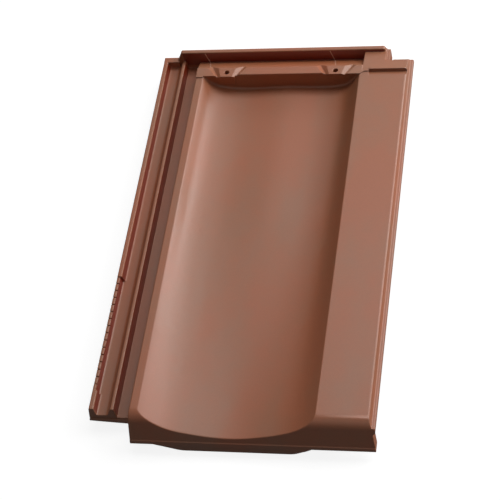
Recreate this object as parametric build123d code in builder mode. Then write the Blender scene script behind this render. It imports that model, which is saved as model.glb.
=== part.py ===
from build123d import *
import os
os.makedirs("parts", exist_ok=True)

# Clay roof tile: one pressed and fired piece, lying as it lies on a roof.
# Millimetres. X runs across, Y runs up the roof towards the head, Z is up.
# The drawing measures x from the left edge, y from the front lip and z from
# the flat top of the roll. The helpers below turn these into tile positions.

# Overall size
width = 292
length = 490
height = 40.5

# Underlock: two ribs and two grooves on the left, for the next tile
rib_top_z = -13
groove_one_z = -22
groove_two_z = -25
rib_one_left = 2
rib_one_right = 6.7
groove_one_left = 8.2
groove_one_right = 20
rib_two_left = 24.5
rib_two_right = 27.8
groove_two_left = 29.1
under_left_z = -29
under_right_z = -33
lock_foot_y = 23.8
lock_ledge_z = -27
rib_foot_y = 28
floor_foot_y = 25.5

# Shoulder between the underlock and the pan
shoulder_left = 48.3
shoulder_foot = 47.5
shoulder_right = 56.5

# Pan
pan_low_offset = 6
pan_low_z = -20.8
pan_even_length = 200
wall = 11.2

# Roll, from the right edge inwards
edge_in = 0.4
ledge_width = 3.1
roll_fall = 2.5
roll_width = 51.5
roll_wall = 5.5
roll_hollow_z = -12
ledge_z = -6
edge_z = -10
flange_in = 4.5
flange_width = 8.5
flange_z = -24
cover_rib_gap = 12
cover_rib_width = 9
cover_rib_z = -21

# Nose skirt
nose_start_y = 24
nose_radius = 15
nose_angle = 63
lip_top_z = -25.2
lip_bottom_z = -29.5
skirt_left = 46.5
skirt_in = 0.7
skirt_wall = 10
lip_top_y = 1.9

# Foot rib under the pan
foot_rib_left = 69.6
foot_rib_rise_left = 31.4
foot_rib_rise_right = 22.5
foot_rib_in = 7
foot_rib_depth = 14

# Head, from its rear edge forwards
head_rib_wall = 5
head_rib_z = 0
head_rib_left = 25
head_end_in = 27
head_ledge_width = 3.6
head_ledge_z = -6.5
head_rib_fall = 2.6
head_under_z = -29
channel_floor = 0.6
channel_slope = 23.9
channel_low_z = -16.4
ramp_flare = 4.1
groove_one_wall = 2
block_width = 10.4
block_top_z = 1.2
block_blend = 3
block_end_bulge = 1.4
plate_shoulder_ahead = 2.7
plate_step_back = 2.3
plate_roll_back = 4.5
plate_lip = 0.7
plate_lip_width = 4.4
panel_in = 2.5
panel_front_z = 0.4
panel_rear_z = -4.1
cross_groove_width = 8.1
cross_groove_in = 10.2
cross_groove_z = -2.7
roll_head_in = 20.7
roll_head_lean = 0.68
roll_head_corner = 3

# Nail holes and their bosses
nail_left = 83.4
nail_in = 27.2
nail_back = 3.6
nail_radius = 2.75
boss_half = 9.3
boss_bulge_left = 2.8
boss_bulge_right = 1.6
boss_groove_back = 5.5
boss_groove_depth = 3.4

# Hanging lugs
lug_left = 82
lug_in = 27.5
lug_width = 34
lug_ahead = 18.1
lug_depth = 15

# Toothed stretch of the outer rib
teeth_foot_y = 56.5
teeth = 15
tooth_pitch = 8.66
tooth_drop = 1
tooth_gap = 1.1
tooth_gap_depth = 1.6
rib_jog = 1.9
jog_foot_y = 49.5

# Rounded edges
crest_round = 1.2
rib_round = 1
block_round = 0.8

# Places across the tile that follow from its width
ledge_right = width - edge_in
ledge_left = ledge_right - ledge_width
roll_right = ledge_left - roll_fall
roll_left = roll_right - roll_width
hollow_right = roll_left + roll_wall
flange_right = width - flange_in
flange_left = flange_right - flange_width
cover_rib_right = flange_left - cover_rib_gap
cover_rib_left = cover_rib_right - cover_rib_width
skirt_right = width - skirt_in
pan_low_x = (shoulder_right + roll_left) / 2 + pan_low_offset
foot_rib_right = roll_left - foot_rib_in
foot_rib_flat_left = foot_rib_left + foot_rib_rise_left
foot_rib_flat_right = foot_rib_right - foot_rib_rise_right
head_end_right = width - head_end_in
head_ledge_left = head_end_right - head_ledge_width
head_rib_right = head_ledge_left - head_rib_fall
panel_left = roll_left + panel_in
cross_groove_left = roll_left + cross_groove_in
cross_groove_right = roll_right + 0.5
nail_right = roll_left - nail_in
lug_right = roll_left - lug_in

# Places along the tile that follow from its length
head_rib_front_y = length - head_rib_wall
channel_low_y = head_rib_front_y - channel_floor
groove_one_end_y = head_rib_front_y - groove_one_wall
block_rear_y = channel_low_y - channel_slope
block_front_y = block_rear_y - block_width
head_bar_front_y = block_front_y - 6
plate_front_y = block_front_y + plate_roll_back
plate_shoulder_y = block_front_y - plate_shoulder_ahead
plate_step_y = block_front_y + plate_step_back
cross_groove_y = plate_front_y - cross_groove_width
roll_head_y = length - roll_head_in
roll_head_low_y = roll_head_y - roll_head_lean * edge_z
nail_y = block_front_y + nail_back
boss_groove_rear_y = block_rear_y + boss_groove_back
lug_front_y = block_front_y - lug_ahead
teeth_head_y = teeth_foot_y + teeth * tooth_pitch


# Drawing positions to tile positions
def across(x, z):
    return (x - width / 2, z + height)


def along(y, z):
    return (y - length / 2, z + height)


def above(x, y):
    return (x - width / 2, y - length / 2)


def across_plane(y):
    return Plane.XZ.offset(length / 2 - y)


def along_plane(x):
    return Plane.YZ.offset(x - width / 2)


def level_plane(z):
    return Plane.XY.offset(z + height)


def corner(sketch, spot):
    return sketch.vertices().sort_by_distance((spot[0], spot[1], 0))[0]


def edge_by(part, x, y, z):
    return part.edges().sort_by_distance((x - width / 2, y - length / 2, z + height))[0]


# The pan is flat-bottomed with steep sides at the head and one shallow curve
# at the foot. Both sections are short rows of spots, from the shoulder to the roll.
pan_at_head = [(shoulder_right - 6, 9), (shoulder_right, 0.2), (shoulder_right + 3, -4),
               (shoulder_right + 6.5, -9.5), (shoulder_right + 13, -15.6), (shoulder_right + 25, -20),
               (pan_low_x, pan_low_z), (roll_left - 26.5, -20.5), (roll_left - 17, -17.8),
               (roll_left - 8.5, -10.6), (roll_left, 0.2), (roll_left + 7.5, 9)]
pan_at_foot = [(shoulder_right - 17.5, 7), (shoulder_right, 0.2), (shoulder_right + 7.1, -2.7),
               (shoulder_right + 14.5, -6.3), (shoulder_right + 25.5, -11.4), (shoulder_right + 51.5, -17.4),
               (pan_low_x, pan_low_z), (roll_left - 45.5, -16.8), (roll_left - 19.5, -10.2),
               (roll_left - 8.5, -5), (roll_left, 0.2), (roll_left + 13.5, 9)]
# Share of the head section at stations along the tile
pan_stations = [(block_front_y + 12, 1), (length - pan_even_length, 1), (nose_start_y, 0), (-30, 0)]


def pan_spots(share):
    spots = []
    for head, foot in zip(pan_at_head, pan_at_foot):
        spots.append((head[0] * share + foot[0] * (1 - share), head[1] * share + foot[1] * (1 - share)))
    return spots


def spots_beneath(share):
    # The same curve, one wall thickness further down and out
    spots = pan_spots(share)
    lower = []
    for before, here, after in zip(spots[1:-3], spots[2:-2], spots[3:-1]):
        run = after[0] - before[0]
        fall = after[1] - before[1]
        slant = (run**2 + fall**2) ** 0.5
        lower.append((here[0] + wall * fall / slant, here[1] - wall * run / slant))
    return lower


with BuildPart() as trough:
    for y, share in pan_stations:
        with BuildSketch(across_plane(y)):
            spots = [across(*spot) for spot in pan_spots(share)]
            with BuildLine():
                Spline(*spots[1:-1])
                Polyline(spots[-2], spots[-1], spots[0], spots[1])
            make_face()
    loft(ruled=True)
    # The head end stands upright, as the front of the head block
    with BuildSketch(along_plane(-10)) as trough_side:
        with BuildLine():
            Polyline(along(-30, 12), along(block_front_y, 12), along(block_front_y, -40),
                     along(-30, -40), close=True)
        make_face()
    extrude(amount=width + 20, mode=Mode.INTERSECT)
    head_end = trough.faces().sort_by(Axis.Y)[-1]
    fillet(head_end.edges().sort_by(Axis.Z)[0], block_blend)

# Hollow under the pan, so that its wall stays even
with BuildPart() as under_hollow:
    for y, share in [(length + 10, 1)] + pan_stations[1:]:
        with BuildSketch(across_plane(y)):
            spots = [across(*spot) for spot in spots_beneath(share)]
            with BuildLine():
                Spline(*spots)
                Polyline(spots[-1], across(hollow_right, roll_hollow_z), across(hollow_right, -60),
                         across(shoulder_foot + 3.5, -60), across(shoulder_foot + 3.5, under_right_z), spots[0])
            make_face()
    loft(ruled=True)
    # The head's underside is flat, so that both nail holes come out square
    with BuildSketch(level_plane(head_under_z)) as head_underside:
        with BuildLine():
            Polyline(above(shoulder_foot + 3.5, head_bar_front_y), above(hollow_right, head_bar_front_y),
                     above(hollow_right, length + 10), above(shoulder_foot + 3.5, length + 10), close=True)
        make_face()
    extrude(amount=-20)

# Nose skirt with ends that spread a little towards its lip
with BuildPart() as skirt:
    with BuildSketch(along_plane(skirt_left - 5)) as skirt_section:
        with BuildLine():
            top_arc = JernArc(start=along(nose_start_y, 0), tangent=(-1, 0), radius=nose_radius,
                              arc_size=nose_angle)
            Polyline(top_arc @ 1, along(lip_top_y, lip_top_z), along(0.8, lip_top_z - 0.5),
                     along(0, lip_bottom_z), along(skirt_wall + 1, lip_bottom_z),
                     along(19.5, -12.7), along(nose_start_y + 6, -skirt_wall), along(nose_start_y + 6, 0),
                     along(nose_start_y, 0))
        make_face()
    extrude(amount=width)
    with BuildSketch(across_plane(nose_start_y + 10)) as skirt_ends:
        with BuildLine():
            Polyline(across(skirt_left, lip_bottom_z), across(shoulder_left, 0), across(roll_right, 0),
                     across(ledge_left, ledge_z), across(skirt_right, lip_bottom_z), close=True)
        make_face()
        fillet(corner(skirt_ends, across(shoulder_left, 0)), 1)
        fillet(corner(skirt_ends, across(roll_right, 0)), 2.2)
    extrude(amount=nose_start_y + 20, mode=Mode.INTERSECT)

with BuildPart() as roof_tile:
    # Shoulder, pan wall and roll in one section along the tile
    with BuildSketch(across_plane(length)) as cover_section:
        with BuildLine():
            Polyline(across(shoulder_foot, under_right_z), across(shoulder_left, 0),
                     across(roll_right, 0), across(ledge_left, ledge_z),
                     across(ledge_right, ledge_z), across(width, edge_z),
                     across(flange_right + 1, edge_z - 3), across(flange_right, flange_z),
                     across(flange_left, flange_z), across(flange_left - 1, roll_hollow_z),
                     across(cover_rib_right, roll_hollow_z), across(cover_rib_right - 1, cover_rib_z),
                     across(cover_rib_left + 1, cover_rib_z), across(cover_rib_left, roll_hollow_z),
                     across(hollow_right - 0.5, roll_hollow_z), across(hollow_right - 0.5, under_right_z),
                     across(shoulder_foot, under_right_z))
        make_face()
        fillet(corner(cover_section, across(shoulder_left, 0)), 1)
        fillet(corner(cover_section, across(roll_right, 0)), 2.2)
        fillet(corner(cover_section, across(ledge_left, ledge_z)), 0.6)
        fillet(corner(cover_section, across(ledge_right, ledge_z)), 1)
        fillet(corner(cover_section, across(width, edge_z)), 0.8)
        fillet(corner(cover_section, across(flange_right, flange_z)), 1.5)
        fillet(corner(cover_section, across(flange_left, flange_z)), 1.5)
        fillet(corner(cover_section, across(flange_left - 1, roll_hollow_z)), 2)
        fillet(corner(cover_section, across(cover_rib_right, roll_hollow_z)), 2)
        fillet(corner(cover_section, across(cover_rib_left, roll_hollow_z)), 2)
        fillet(corner(cover_section, across(cover_rib_right - 1, cover_rib_z)), 1.5)
        fillet(corner(cover_section, across(cover_rib_left + 1, cover_rib_z)), 1.5)
    extrude(amount=length)
    add(under_hollow.part, mode=Mode.SUBTRACT)

    # Nose skirt, a curved wall that closes the foot across shoulder, pan and roll
    add(skirt.part)

    # Foot rib, the belly that hangs under the pan at the front
    with BuildSketch(across_plane(foot_rib_depth)) as foot_rib_section:
        with BuildLine():
            Polyline(across(foot_rib_left - 12, lip_bottom_z + 6), across(foot_rib_left, lip_bottom_z),
                     across(foot_rib_left + 14, -35.2))
            Spline(across(foot_rib_left + 14, -35.2), across(foot_rib_flat_left, -height),
                   tangents=((24, -9), (1, 0)))
            Line(across(foot_rib_flat_left, -height), across(foot_rib_flat_right, -height))
            Spline(across(foot_rib_flat_right, -height), across(foot_rib_right - 6, -34.3),
                   tangents=((1, 0), (24, 9)))
            Polyline(across(foot_rib_right - 6, -34.3), across(foot_rib_right, -30.5),
                     across(foot_rib_right + 12, -18), across(foot_rib_left - 12, lip_bottom_z + 6))
        make_face()
    extrude(amount=foot_rib_depth)

    # Head bar that carries the block, the channel and the rear rib
    with BuildSketch(along_plane(shoulder_left)) as head_bar:
        with BuildLine():
            Polyline(along(head_bar_front_y, head_under_z), along(head_bar_front_y, -1),
                     along(length, -1), along(length, head_under_z), close=True)
        make_face()
    extrude(amount=panel_left - shoulder_left)
    # Raised plate from the shoulder past the block to the right edge of the roll
    with BuildSketch(level_plane(-8)) as head_plate:
        with BuildLine():
            Polyline(above(shoulder_left, plate_shoulder_y), above(roll_left - 1.5, plate_shoulder_y),
                     above(roll_left + 0.4, plate_shoulder_y + 1), above(roll_left + 4.3, plate_step_y - 0.4),
                     above(roll_left + 6, plate_step_y), above(cross_groove_left, plate_step_y),
                     above(cross_groove_left, plate_front_y), above(roll_right, plate_front_y),
                     above(roll_right, length - 4), above(panel_left, length - 4),
                     above(panel_left, block_rear_y + 3), above(shoulder_left, block_rear_y + 3), close=True)
        make_face()
    extrude(amount=8 + block_top_z)

    # Pan, cut as one smooth trough up to the head block
    add(trough.part, mode=Mode.SUBTRACT)

    # Everything in front of the nose is cut away
    with BuildSketch(along_plane(-10)) as nose_cut:
        with BuildLine():
            nose_arc = JernArc(start=along(nose_start_y, 0), tangent=(-1, 0), radius=nose_radius,
                               arc_size=nose_angle)
            Polyline(nose_arc @ 1, along(lip_top_y, lip_top_z), along(0.8, lip_top_z - 0.5),
                     along(0, lip_bottom_z), along(0, -60), along(-60, -60), along(-60, 20),
                     along(nose_start_y, 20), along(nose_start_y, 0))
        make_face()
    extrude(amount=width + 20, mode=Mode.SUBTRACT)
    # The shoulder's foot stops level with the lip
    with BuildSketch(level_plane(lip_bottom_z)) as shoulder_trim:
        with Locations(above(52, 10)):
            Rectangle(14, 28)
    extrude(amount=-20, mode=Mode.SUBTRACT)

    # Underlock with its two ribs and two grooves
    with BuildSketch(across_plane(length)) as lock_section:
        with BuildLine():
            Polyline(across(0, under_left_z), across(rib_one_left, rib_top_z),
                     across(rib_one_right, rib_top_z), across(groove_one_left, groove_one_z),
                     across(groove_one_right, groove_one_z), across(rib_two_left, rib_top_z),
                     across(rib_two_right, rib_top_z), across(groove_two_left, groove_two_z),
                     across(50, groove_two_z), across(50, under_right_z), across(38, under_right_z),
                     close=True)
        make_face()
        fillet(corner(lock_section, across(rib_one_left, rib_top_z)), 0.8)
        fillet(corner(lock_section, across(rib_one_right, rib_top_z)), 0.8)
        fillet(corner(lock_section, across(groove_one_left, groove_one_z)), 2)
        fillet(corner(lock_section, across(groove_one_right, groove_one_z)), 4)
        fillet(corner(lock_section, across(rib_two_left, rib_top_z)), 1)
        fillet(corner(lock_section, across(rib_two_right, rib_top_z)), 0.8)
    extrude(amount=length - lock_foot_y)
    # Its foot end leans back, with a small ledge under the groove floors
    with BuildSketch(along_plane(-10)) as lock_foot:
        with BuildLine():
            Polyline(along(rib_foot_y + 4, 5), along(rib_foot_y, rib_top_z),
                     along(floor_foot_y, groove_two_z), along(floor_foot_y - 0.2, lock_ledge_z),
                     along(lock_foot_y + 0.2, lock_ledge_z), along(lock_foot_y - 0.2, under_right_z - 1),
                     along(-60, under_right_z - 1), along(-60, 5), close=True)
        make_face()
    extrude(amount=10 + skirt_left, mode=Mode.SUBTRACT)

    # The ramp behind the block flares at its left end
    with BuildSketch(across_plane(length - 2)) as flare:
        with BuildLine():
            Polyline(across(shoulder_left + 1, -0.5), across(shoulder_left, -0.5),
                     across(shoulder_left - ramp_flare, channel_low_z),
                     across(shoulder_left - ramp_flare - 2, groove_two_z - 1),
                     across(shoulder_left + 1, groove_two_z - 1), close=True)
        make_face()
    extrude(amount=length - 2 - block_rear_y)
    # Head channel, which drains into the second groove
    with BuildSketch(along_plane(groove_two_left + 2)) as channel:
        with BuildLine():
            Polyline(along(block_rear_y, block_top_z), along(channel_low_y, channel_low_z),
                     along(head_rib_front_y, channel_low_z), along(head_rib_front_y, 6),
                     along(block_rear_y, 6), close=True)
        make_face()
    extrude(amount=panel_left - groove_two_left - 2, mode=Mode.SUBTRACT)

    # Panel beside the channel, falling gently to the rear
    with BuildSketch(along_plane(panel_left)) as panel_fall:
        with BuildLine():
            Polyline(along(plate_step_y, block_top_z), along(plate_front_y + plate_lip_width, panel_front_z),
                     along(head_rib_front_y, panel_rear_z), along(length + 5, panel_rear_z - 1.7),
                     along(length + 5, 6), along(plate_step_y, 6), close=True)
        make_face()
    extrude(amount=width, mode=Mode.SUBTRACT)
    # Low lip on the roll, behind the cross groove
    with BuildSketch(along_plane(cross_groove_left)) as roll_lip:
        with BuildLine():
            Polyline(along(plate_front_y, -1), along(plate_front_y, block_top_z + plate_lip),
                     along(plate_front_y + plate_lip_width, panel_front_z),
                     along(plate_front_y + plate_lip_width, -1), close=True)
        make_face()
    extrude(amount=roll_right - cross_groove_left - 1)
    # A ledge runs along the panel's right edge and the rib's right end
    with BuildSketch(across_plane(length + 5)) as side_ledge:
        with BuildLine():
            Polyline(across(head_ledge_left - 1, 3), across(head_ledge_left, head_ledge_z),
                     across(head_end_right + 5, head_ledge_z), across(head_end_right + 5, 3), close=True)
        make_face()
    extrude(amount=length + 5 - roll_head_y, mode=Mode.SUBTRACT)

    # Shallow cross groove on the roll, steep on its head side
    with BuildSketch(along_plane(cross_groove_left)) as cross_groove:
        with BuildLine():
            Polyline(along(cross_groove_y - 2, 1), along(cross_groove_y, 0),
                     along(plate_front_y - 0.3, cross_groove_z), along(plate_front_y, 1), close=True)
        make_face()
    extrude(amount=cross_groove_right - cross_groove_left, mode=Mode.SUBTRACT)

    # Head rib, with sloping ends
    with BuildSketch(across_plane(length)) as head_rib:
        with BuildLine():
            Polyline(across(head_rib_left - 6.5, rib_top_z), across(head_rib_left, head_rib_z),
                     across(head_rib_right, head_rib_z), across(head_ledge_left, head_ledge_z),
                     across(head_end_right, head_ledge_z), across(head_end_right, -12),
                     across(head_rib_right - 30, -20),
                     across(shoulder_right, -29), across(head_rib_left - 6.5, -29), close=True)
        make_face()
        fillet(corner(head_rib, across(head_rib_left, head_rib_z)), 2)
        fillet(corner(head_rib, across(head_rib_right, head_rib_z)), 2)
    extrude(amount=length - head_rib_front_y)

    # Wall that closes the first groove at the head
    with BuildSketch(across_plane(length)) as groove_wall:
        with BuildLine():
            Polyline(across(0.1, under_left_z), across(rib_one_left, rib_top_z),
                     across(groove_one_right, rib_top_z), across(groove_one_right, under_left_z),
                     close=True)
        make_face()
    extrude(amount=length - groove_one_end_y)

    # The roll stops short of the rear, beside the panel, and its end leans back
    with BuildSketch(along_plane(head_end_right)) as roll_head:
        with BuildLine():
            Polyline(along(roll_head_y, 8), along(roll_head_y, 0), along(roll_head_low_y, edge_z),
                     along(roll_head_low_y, -50), along(length + 5, -50), along(length + 5, 8), close=True)
        make_face()
    extrude(amount=head_end_in + 5, mode=Mode.SUBTRACT)
    with BuildSketch(level_plane(-50)) as roll_corner:
        with BuildLine():
            Polyline(above(width - roll_head_corner, roll_head_low_y + 1),
                     above(width - roll_head_corner, roll_head_low_y),
                     above(width - 1, roll_head_low_y - 1),
                     above(width, roll_head_low_y - roll_head_corner),
                     above(width + 1, roll_head_low_y - roll_head_corner),
                     above(width + 1, roll_head_low_y + 1), close=True)
        make_face()
    extrude(amount=60, mode=Mode.SUBTRACT)

    # Nail bosses: the top of the block bulges forward around each nail hole
    with BuildSketch(level_plane(block_top_z)) as bosses:
        for x, side, end, bulge in (
            (nail_left, -1, shoulder_right - 3, boss_bulge_left),
            (nail_right, 1, roll_left + 1, boss_bulge_right),
        ):
            with BuildLine():
                Polyline(above(end, block_front_y + 7), above(end, block_front_y - block_end_bulge),
                         above(x + side * (boss_half + 3), block_front_y - block_end_bulge),
                         above(x + side * boss_half, block_front_y - bulge),
                         above(x - side * boss_half, block_front_y - bulge),
                         above(x - side * (boss_half + 4), block_front_y + 7), close=True)
            make_face()
    extrude(amount=-15, taper=9)
    # A shallow groove on each side of a boss widens from the pan to the channel
    for x in (nail_left, nail_right):
        for side in (-1, 1):
            for y, inner, valley, outer, depth in (
                (boss_groove_rear_y, 12, 19, 26.5, boss_groove_depth),
                (block_front_y - 6, 5.5, 8, 9, boss_groove_depth / 2),
            ):
                with BuildSketch(across_plane(y)):
                    with BuildLine():
                        Polyline(across(x + side * inner, block_top_z),
                                 across(x + side * valley, block_top_z - depth),
                                 across(x + side * outer, block_top_z),
                                 across(x + side * (outer + 1), block_top_z + 3),
                                 across(x + side * (inner - 1), block_top_z + 3), close=True)
                    make_face()
            loft(mode=Mode.SUBTRACT)

    # Nail holes
    with BuildSketch(level_plane(10)) as nail_holes:
        for x in (nail_left, nail_right):
            with Locations(above(x, nail_y)):
                Circle(nail_radius)
    extrude(amount=-60, mode=Mode.SUBTRACT)

    # Hanging lugs under the head
    with BuildSketch(level_plane(-height)) as lugs:
        for x in (lug_left, lug_right):
            with Locations(above(x, lug_front_y + lug_depth / 2)):
                RectangleRounded(lug_width, lug_depth, 3)
    extrude(amount=height + head_under_z + 6)

    # Toothed stretch of the outer rib: a little lower and narrower, with gaps
    with BuildSketch(across_plane(teeth_head_y)) as rib_lowered:
        with BuildLine():
            Polyline(across(-1, rib_top_z - tooth_drop), across(rib_one_left + 8, rib_top_z - tooth_drop),
                     across(rib_one_left + 8, 0), across(-1, 0), close=True)
        make_face()
    extrude(amount=teeth_head_y - teeth_foot_y, mode=Mode.SUBTRACT)
    with BuildSketch(across_plane(teeth_head_y)) as rib_narrowed:
        with BuildLine():
            Polyline(across(rib_one_right - rib_jog, rib_top_z + 1), across(rib_one_right - rib_jog, rib_top_z),
                     across(groove_one_left - rib_jog, groove_one_z),
                     across(groove_one_left + 3, groove_one_z), across(groove_one_left + 3, rib_top_z + 1),
                     close=True)
        make_face()
        fillet(corner(rib_narrowed, across(groove_one_left - rib_jog, groove_one_z)), 2)
    extrude(amount=teeth_head_y - jog_foot_y, mode=Mode.SUBTRACT)
    with BuildSketch(level_plane(0)) as tooth_gaps:
        for number in range(teeth):
            with Locations(above(rib_one_left, teeth_foot_y + number * tooth_pitch + tooth_gap / 2)):
                Rectangle(9, tooth_gap)
    extrude(amount=rib_top_z - tooth_drop - tooth_gap_depth, mode=Mode.SUBTRACT)

    # Pressed clay has no sharp edges: the pan's crests, its curve through the nose,
    # the head rib, the block and the end of the roll are rounded
    fillet([edge_by(roof_tile, roll_left, length - 120, 0), edge_by(roof_tile, roll_left, 150, 0)], crest_round)
    fillet(edge_by(roof_tile, pan_low_x, head_rib_front_y, head_rib_z), rib_round)
    fillet(edge_by(roof_tile, pan_low_x, length, head_rib_z), rib_round)
    fillet(edge_by(roof_tile, pan_low_x, block_front_y, block_top_z), block_round)
    fillet(edge_by(roof_tile, roll_right - 10, roll_head_y + 1, -1.5), block_round)

roof_tile.part.label = "roof_tile"
export_step(roof_tile.part, "parts/roof_tile.step")
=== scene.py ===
# %% [markdown]
# # A pressed clay roof tile
# The tile is one piece of fired clay with a thin coat of red-brown slip, which
# gives it a satin sheen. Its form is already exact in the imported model, so this
# lesson leaves the form alone. It finishes the surface, sets up a calm studio and
# looks at the tile from above, over its nose. We start by loading the model and
# noting its size.

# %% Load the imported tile
import math

import bmesh
import bpy
from mathutils import Matrix, Vector


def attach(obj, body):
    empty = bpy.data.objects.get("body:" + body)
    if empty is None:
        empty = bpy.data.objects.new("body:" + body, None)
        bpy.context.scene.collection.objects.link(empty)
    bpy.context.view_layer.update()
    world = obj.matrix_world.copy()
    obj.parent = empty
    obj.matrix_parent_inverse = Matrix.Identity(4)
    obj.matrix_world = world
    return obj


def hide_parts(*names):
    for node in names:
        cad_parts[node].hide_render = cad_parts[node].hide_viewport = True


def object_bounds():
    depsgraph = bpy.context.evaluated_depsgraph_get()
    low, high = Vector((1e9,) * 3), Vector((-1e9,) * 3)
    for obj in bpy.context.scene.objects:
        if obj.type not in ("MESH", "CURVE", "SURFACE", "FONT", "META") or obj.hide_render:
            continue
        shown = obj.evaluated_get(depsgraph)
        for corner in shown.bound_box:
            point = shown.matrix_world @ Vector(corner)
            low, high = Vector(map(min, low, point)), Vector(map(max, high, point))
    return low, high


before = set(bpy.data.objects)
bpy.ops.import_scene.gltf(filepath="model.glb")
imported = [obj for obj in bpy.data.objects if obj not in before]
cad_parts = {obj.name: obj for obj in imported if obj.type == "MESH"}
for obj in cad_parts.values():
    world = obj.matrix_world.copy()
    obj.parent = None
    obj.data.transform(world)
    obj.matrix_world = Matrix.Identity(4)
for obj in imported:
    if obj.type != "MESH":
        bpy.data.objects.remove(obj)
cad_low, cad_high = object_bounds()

tile_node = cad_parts["roof_tile"]
tile_size = cad_high - cad_low
print("tile size in metres:", [round(v, 4) for v in tile_size])
print("triangles as packed:", len(tile_node.data.polygons))

# %% [markdown]
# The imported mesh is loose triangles. Shaded as it is, each one would show as a
# flat chip. We could model the surface again, but its shape is right, so we
# weld a copy of it instead and let neighbouring faces share their shading
# wherever they meet at a gentle angle. The copy then stands for the node.

# %% Weld a copy of the tile
CREASE_ANGLE = math.radians(26)
WELD_GAP = 0.000001


def set_down(bm, name):
    """Turn a finished bmesh into an object at the scene's origin."""
    mesh = bpy.data.meshes.new(name)
    bm.to_mesh(mesh)
    bm.free()
    piece = bpy.data.objects.new(name, mesh)
    bpy.context.scene.collection.objects.link(piece)
    return piece


def welded_copy(node, name):
    """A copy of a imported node's mesh with its doubled corners merged."""
    bm = bmesh.new()
    bm.from_mesh(node.data)
    bmesh.ops.remove_doubles(bm, verts=bm.verts, dist=WELD_GAP)
    for face in bm.faces:
        face.smooth = True
    for edge in bm.edges:
        turned = len(edge.link_faces) == 2 and edge.calc_face_angle(0) > CREASE_ANGLE
        edge.smooth = not turned
    return set_down(bm, name)


clay_body = welded_copy(tile_node, "clay_body")
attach(clay_body, "root")
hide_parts("roof_tile")
print("corners after welding:", len(clay_body.data.vertices))

# %% [markdown]
# Long thin triangles still pull the shading about where a flat part meets a
# curved one. Cutting them up would help, but it would make a much heavier mesh.
# A Weighted Normal modifier lets the large faces lead instead, so the flats stay
# flat and only the roundings turn.

# %% Let large faces lead the shading
weighted = clay_body.modifiers.new("large_faces_lead", "WEIGHTED_NORMAL")
weighted.mode = "FACE_AREA_WITH_ANGLE"
weighted.keep_sharp = True
print("modifier:", weighted.name)

# %% [markdown]
# The finish is worked out by shader nodes. They could be added and linked one by
# one, but shader maths reads best as plain sums. This small class wraps a socket,
# so that an expression such as 1 - mask adds the Math nodes by itself. Any other
# node comes from its one `node` method.


# %% A wrapped socket
def set_stops(ramp, stops):
    """Give a colour ramp its stops, as pairs of a position and a colour."""
    while len(ramp.elements) < len(stops):
        ramp.elements.new(0.5)
    for element, (position, colour) in zip(ramp.elements, stops):
        element.position = position
        element.color = colour


class Wire:
    """A shader socket that can be used in Python sums."""

    def __init__(self, tree, socket):
        self.tree = tree
        self.socket = socket

    def node(self, kind, settings=None, out=0, **values):
        """Add a node: first its settings, then the values or wires of its sockets.

        A socket goes by its name, with _ for a space, or by its number, as in0.
        """
        made = self.tree.nodes.new(kind)
        for key, value in (settings or {}).items():
            if key == "stops":
                set_stops(made.color_ramp, value)
            else:
                setattr(made, key, value)
        for key, value in values.items():
            if key.startswith("in") and key[2:].isdigit():
                socket = made.inputs[int(key[2:])]
            else:
                socket = made.inputs[key.replace("_", " ")]
            if isinstance(value, Wire):
                self.tree.links.new(value.socket, socket)
            else:
                socket.default_value = value
        return Wire(self.tree, made.outputs[out])

    def _sum(self, operation, a, b):
        return self.node("ShaderNodeMath", {"operation": operation}, in0=a, in1=b)

    def __add__(self, other):
        return self._sum("ADD", self, other)

    def __radd__(self, other):
        return self._sum("ADD", other, self)

    def __sub__(self, other):
        return self._sum("SUBTRACT", self, other)

    def __rsub__(self, other):
        return self._sum("SUBTRACT", other, self)

    def __mul__(self, other):
        return self._sum("MULTIPLY", self, other)

    def __rmul__(self, other):
        return self._sum("MULTIPLY", other, self)


print("wrapped sockets ready")

# %% [markdown]
# Every finish starts from the same few lines, so they get a helper. It hands back
# the shader, which takes the values that are the same all over, and a first wire
# of object coordinates. Those are metres on the tile itself, so a pattern keeps
# its size and its place from any side.


# %% A new material
def new_material(name):
    """A node material, its shader and a wire of object coordinates."""
    material = bpy.data.materials.new(name)
    material.use_nodes = True
    shader = material.node_tree.nodes["Principled BSDF"]
    coords = material.node_tree.nodes.new("ShaderNodeTexCoord")
    return material, shader, Wire(material.node_tree, coords.outputs["Object"])


def feed(shader, name, wire):
    """Link a wire into one of a shader's sockets."""
    wire.tree.links.new(wire.socket, shader.inputs[name])


slip, slip_shader, place = new_material("fired_slip")
print("material:", slip.name)

# %% [markdown]
# The slip on a fired tile is never one flat colour. The kiln leaves broad
# clouds that lean to red or to a duller brown, with smaller ones inside them.
# An image could hold that, but it would stretch over the steep walls. Noise in
# object coordinates runs through the whole solid, so it meets at every edge.
# The broad clouds are drawn out along the tile.

# %% Clouds in the slip
SLIP_BROWN = (0.350, 0.113, 0.044, 1)
SLIP_RED = (0.375, 0.106, 0.037, 1)
SLIP_DULL = (0.325, 0.121, 0.054, 1)
TINT_STOPS = [(0.38, SLIP_DULL), (0.5, SLIP_BROWN), (0.62, SLIP_RED)]
BROAD_PER_METRE = (18, 7, 18)
SMALL_PER_METRE = 55.0
BROAD_SHARE = 0.75


def mottle(wire, scale, detail, roughness):
    """Noise from nought to one, with about so many spots along each unit."""
    spread = {"Scale": scale, "Detail": detail, "Roughness": roughness}
    return wire.node("ShaderNodeTexNoise", Vector=wire, **spread)


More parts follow.
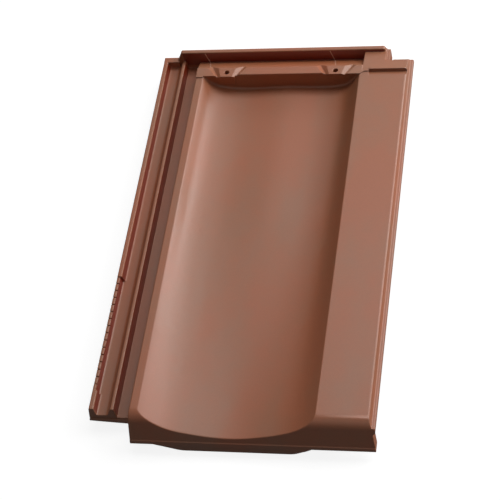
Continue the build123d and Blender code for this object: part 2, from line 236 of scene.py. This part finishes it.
stretched = place.node("ShaderNodeMapping", Vector=place, Scale=BROAD_PER_METRE)
broad = mottle(stretched, 1.0, detail=2.0, roughness=0.5)
small = mottle(place, SMALL_PER_METRE, detail=3.0, roughness=0.6)
clouds = broad * BROAD_SHARE + small * (1 - BROAD_SHARE)
tint = place.node("ShaderNodeValToRGB", {"stops": TINT_STOPS}, Fac=clouds)
print("slip colours:", [colour[:3] for _, colour in TINT_STOPS])

# %% [markdown]
# Some steep walls lie deep in shade, and there a darker red is painted on as
# painted shade, with a slightly smoother gloss. On this tile that is on the walls
# of the two ribs that face the pan, and on the face of the head rib. Those faces
# could take a second material, but its border would be a hard line. So each place
# is a box in object coordinates, and the painted shade fades in over its border.

# %% Painted shade on the steep walls
# Painted shade: a dark red that stands for the shade on deep walls kept from the lights
PAINTED_WALL_SHADE = (0.230, 0.022, 0.004, 1)
# Low and high place of each box along each axis, in metres
RIB_LENGTH = (-0.2165, 0.2375)
OUTER_RIB_WALL = {"X": (-0.1413, -0.1376), "Y": RIB_LENGTH, "Z": (0.0192, 0.0260)}
INNER_RIB_WALL = {"X": (-0.1184, -0.1166), "Y": RIB_LENGTH, "Z": (0.0162, 0.0265)}
HEAD_RIB_FACE = {"X": (-0.120, 0.112), "Y": (0.2396, 0.2404), "Z": (0.0200, 0.0392)}
FADE = 0.0004


def ramp_up(wire, start, end):
    """Nought at the start along a wire, rising evenly to one at the end."""
    return wire.node("ShaderNodeMapRange", Value=wire, From_Min=start, From_Max=end)


def between(axis, low, high):
    """One from low to high along an axis, fading to nothing at both."""
    along = place.node("ShaderNodeSeparateXYZ", out=axis, Vector=place)
    rise = ramp_up(along, low - FADE, low + FADE)
    fall = ramp_up(along, high + FADE, high - FADE)
    return rise * fall


def inside(box):
    """One inside a box, fading to nothing at its border."""
    return between("X", *box["X"]) * between("Y", *box["Y"]) * between("Z", *box["Z"])


# Where the shade is painted: the rib walls that face the pan and the head rib's face
painted_shade = inside(OUTER_RIB_WALL) + inside(INNER_RIB_WALL) + inside(HEAD_RIB_FACE)
# Painted shade: inside the boxes the dark red is mixed into the slip colour
# The Mix node's colours are its inputs 6 and 7, and its mixed colour is output 2
slip_with_painted_shade = place.node(
    "ShaderNodeMix", {"data_type": "RGBA"}, out=2, in0=painted_shade, in6=tint, in7=PAINTED_WALL_SHADE
)
print("thick slip:", PAINTED_WALL_SHADE[:3])

# %% [markdown]
# Close up, the slip is a spray of clay specks, far too many and too small to
# model. A fine noise stands for them. It darkens and lightens the colour by a
# few parts in a hundred here, and the skin below uses it again.

# %% Specks
SPECKS_PER_METRE = 850.0
SPECK_CONTRAST = 0.22
specks = mottle(place, SPECKS_PER_METRE, detail=2.0, roughness=0.6)
speck_tone = specks * SPECK_CONTRAST + (1 - SPECK_CONTRAST / 2)
speckled = place.node(
    "ShaderNodeVectorMath", {"operation": "SCALE"}, in0=slip_with_painted_shade, Scale=speck_tone
)
feed(slip_shader, "Base Color", speckled)
print("specks per metre:", SPECKS_PER_METRE)

# %% [markdown]
# Bare fired clay is dull, but slip has a satin skin. A clear coat on top could
# give it, but slip is a single layer, so the shader's own gloss is turned up.
# The specks and the clouds break the gloss up, and the walls with painted shade
# get a smoother gloss. The specks also stand up by a few hundredths of a
# millimetre, which is too fine to model, so a bump carries them. A mould leaves no
# knife edges, so a Bevel node lets the shading turn softly over them.

# %% Satin skin
SLIP_GLOSS = 1.0
SATIN = 0.40
SPECK_DULLING = 0.1
CLOUD_DULLING = 0.06
SHADED_WALL_SMOOTHING = 0.15
SPECK_RELIEF = 0.08
SPECK_HEIGHT = 0.0003
EDGE_ROUNDING = 0.0015
EDGE_SAMPLES = 8

slip_shader.inputs["Specular IOR Level"].default_value = SLIP_GLOSS
# The walls with painted shade also get a smoother gloss
satin = SATIN + specks * SPECK_DULLING + broad * CLOUD_DULLING - painted_shade * SHADED_WALL_SMOOTHING
feed(slip_shader, "Roughness", satin)
soft_edges = place.node(
    "ShaderNodeBevel", {"samples": EDGE_SAMPLES}, Radius=EDGE_ROUNDING
)
grain = place.node(
    "ShaderNodeBump",
    Strength=SPECK_RELIEF,
    Distance=SPECK_HEIGHT,
    Height=specks,
    Normal=soft_edges,
)
feed(slip_shader, "Normal", grain)
clay_body.data.materials.append(slip)
print("nodes in the slip:", len(slip.node_tree.nodes))

# %% [markdown]
# Where the parts of the mould meet, they leave a fine raised line in the clay.
# One runs down the face of the head rib and climbs the ramp to each nail boss,
# and the thin highlight on its crest is painted on as a pale colour. A bump could
# draw it, but that fades when seen from the side. So each line is a thin six-sided
# strand, grown from point to point along the surface and half sunk in it: real
# relief that catches light, with a painted highlight for its colour.

# %% Mould lines by the nail bosses
LINE_RADIUS = 0.0006
LINE_SIDES = 6
# Painted highlight: the pale colour stands for the light along the lines' crests
PAINTED_LINE_HIGHLIGHT = (0.56, 0.30, 0.21, 1)
LINE_HIGHLIGHT_ROUGHNESS = 0.45
MM_PER_METRE = 1000
# From the top of the head rib down its face, then up the ramp to the boss
LEFT_LINE_MM = [
    (-93.2, 240, 38.9), (-92.0, 240, 32.4), (-90.1, 240, 25.0),
    (-89.4, 237.9, 25.2), (-85.2, 224.9, 34.8), (-83.3, 218.6, 39.4),
]
RIGHT_LINE_MM = [
    (51.4, 240, 38.9), (52.7, 240, 32.9), (54.4, 240, 24.9),
    (56.1, 235.4, 27.1), (58.6, 224.7, 34.9), (60.3, 217.4, 40.3),
]

# A pale material that paints the highlight onto the mould lines
line_highlight_paint, line_highlight_shader, _ = new_material("line_highlight_paint")
line_highlight_shader.inputs["Base Color"].default_value = PAINTED_LINE_HIGHLIGHT
line_highlight_shader.inputs["Roughness"].default_value = LINE_HIGHLIGHT_ROUGHNESS


def mould_line(name, stops_mm):
    """A thin strand along a row of points on the surface."""
    stops = [Vector(stop) / MM_PER_METRE for stop in stops_mm]
    heading = (stops[1] - stops[0]).to_track_quat("Z", "Y").to_matrix().to_4x4()
    bm = bmesh.new()
    bmesh.ops.create_circle(
        bm,
        cap_ends=True,
        segments=LINE_SIDES,
        radius=LINE_RADIUS,
        matrix=Matrix.Translation(stops[0]) @ heading,
    )
    tip = bm.faces[:]
    for start, end in zip(stops, stops[1:]):
        # The old tip stays inside the strand as a hidden face, and is not cut out
        grown = bmesh.ops.extrude_face_region(bm, geom=tip)
        tip = [part for part in grown["geom"] if isinstance(part, bmesh.types.BMFace)]
        bmesh.ops.translate(bm, verts=tip[0].verts[:], vec=end - start)
    bmesh.ops.recalc_face_normals(bm, faces=bm.faces[:])
    line = set_down(bm, name)
    line.data.materials.append(line_highlight_paint)
    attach(line, "root")
    print(name, "faces:", len(line.data.polygons))


mould_line("mould_line_left", LEFT_LINE_MM)
mould_line("mould_line_right", RIGHT_LINE_MM)

# %% [markdown]
# The studio is one plain pale floor. A curved backdrop could stand behind the
# tile, but the camera looks down and the other views go all the way round, so a
# floor that runs out of sight on every side serves them all.

# %% Floor
FLOOR_HALF = 6.0
floor_bm = bmesh.new()
bmesh.ops.create_grid(floor_bm, x_segments=1, y_segments=1, size=FLOOR_HALF)
floor = set_down(floor_bm, "studio_floor")
print("floor half width:", FLOOR_HALF)

# %% [markdown]
# The floor looks white to the camera and keeps the tile's soft shadow. White
# paint alone could do that, but it would also throw light back up at the nose,
# where the photo shows none. So Light Path tells the rays apart: light that
# bounces meets a nearly black floor, and gloss sees the white only faintly, since
# it would wash out the slip's dark walls.

# %% White paper on the floor
FLOOR_BOUNCE = (0.05, 0.05, 0.05, 1)
FLOOR_ROUGHNESS = 1.0
FLOOR_SHADOW = (0.32, 0.32, 0.32, 1)
FLOOR_GLOW = 0.86
IN_GLOSS = 0.15


def seen_directly(wire):
    """One for a camera or clear ray, IN_GLOSS for a glossy ray, else nothing."""
    camera, glossy, clear = (
        wire.node("ShaderNodeLightPath", out=f"Is {ray} Ray")
        for ray in ("Camera", "Glossy", "Transmission")
    )
    return camera + glossy * IN_GLOSS + clear


paper, paper_shader, spot = new_material("studio_paper")
paper_shader.inputs["Base Color"].default_value = FLOOR_BOUNCE
paper_shader.inputs["Roughness"].default_value = FLOOR_ROUGHNESS
shadow = spot.node("ShaderNodeBsdfDiffuse", Color=FLOOR_SHADOW)
glow = spot.node("ShaderNodeEmission", Strength=FLOOR_GLOW)
white_floor = spot.node("ShaderNodeAddShader", in0=shadow, in1=glow)
dark_floor = Wire(paper.node_tree, paper_shader.outputs[0])
floor_look = spot.node(
    "ShaderNodeMixShader", in0=seen_directly(spot), in1=dark_floor, in2=white_floor
)
feed(paper.node_tree.nodes["Material Output"], "Surface", floor_look)
floor.data.materials.append(paper)
print("floor glow:", FLOOR_GLOW)

# %% [markdown]
# The air around the floor is white in the same way. It could light the tile from
# all sides, but that would flatten it, so it gives only a little even light, and
# no shadow is quite black.

# %% Air
AIR_WHITE = (1, 1, 1, 1)
AIR_FILL = 0.045
world = bpy.data.worlds.new("studio_air")
bpy.context.scene.world = world
world.use_nodes = True
background = world.node_tree.nodes["Background"]
background.inputs["Color"].default_value = AIR_WHITE
air = Wire(world.node_tree, background.outputs[0])
feed(background, "Strength", seen_directly(air) * (1 - AIR_FILL) + AIR_FILL)
print("even light from the air:", AIR_FILL)

# %% [markdown]
# In the photo every surface that leans right or towards the head is bright, and
# the nose is nearly black. One large window could light it so, but its gloss
# would be a single hard band. So most of the light stands behind the tile to the
# right, in softboxes from low to high that share the left slope's sheen. One
# above the head lights all that faces up, a weak one behind it draws the edges
# there, and a weak one in front keeps the nose from going black.

# %% Soft lights
LIGHT_DISTANCE = 2.0
LIGHT_SIZE = 0.9
# Turn from the tile's right and height, both in degrees, and power in watts
SOFTBOXES = {
    "low_softbox": (42, 12, 16.5),
    "high_softbox": (45, 45, 9),
    "side_softbox": (18, 34, 11),
    "top_softbox": (60, 62, 5.5),
    "head_softbox": (100, 65, 5),
    "rear_softbox": (100, 20, 2.5),
    "front_softbox": (-90, 55, 1.8),
}
tile_middle = (cad_low + cad_high) / 2


def soft_light(name, turn, height, power):
    """A square area light that faces the middle of the tile."""
    turn, height = math.radians(turn), math.radians(height)
    flat = LIGHT_DISTANCE * math.cos(height)
    above = LIGHT_DISTANCE * math.sin(height)
    stand = Vector((flat * math.cos(turn), flat * math.sin(turn), above))
    data = bpy.data.lights.new(name, "AREA")
    data.shape = "SQUARE"
    data.size, data.energy = LIGHT_SIZE, power
    lamp = bpy.data.objects.new(name, data)
    bpy.context.scene.collection.objects.link(lamp)
    lamp.location = stand
    lamp.rotation_euler = (tile_middle - stand).to_track_quat("-Z", "Y").to_euler()


for name, (turn, height, power) in SOFTBOXES.items():
    soft_light(name, turn, height, power)
print("lights:", len(bpy.data.lights))

# %% [markdown]
# The camera stands right of the nose and well above it, with a long lens and a
# slight roll. It could be nudged into place by eye, but its three directions can
# be worked out from the tile's own edges: the lines across, along and up through
# the photo each meet at one far point.

# %% Camera
CAMERA_PLACE = Vector((0.37654, -0.9454, 1.3618))
CAMERA_RIGHT = Vector((0.9733, 0.1361, -0.1849))
CAMERA_UP = Vector((-0.0067, 0.8218, 0.5697))
LENS_MM = 115.2
SENSOR_MM = 36.0

camera_data = bpy.data.cameras.new("photo_camera")
camera_data.lens = LENS_MM
camera_data.sensor_width = SENSOR_MM
camera = bpy.data.objects.new("photo_camera", camera_data)
bpy.context.scene.collection.objects.link(camera)
camera_back = CAMERA_RIGHT.cross(CAMERA_UP).normalized()
camera_up = camera_back.cross(CAMERA_RIGHT).normalized()
facing = Matrix((CAMERA_RIGHT.normalized(), camera_up, camera_back)).transposed()
camera.matrix_world = Matrix.Translation(CAMERA_PLACE) @ facing.to_4x4()
bpy.context.scene.camera = camera
bpy.context.scene.view_settings.view_transform = "Standard"
print("camera distance:", round((CAMERA_PLACE - tile_middle).length, 3))
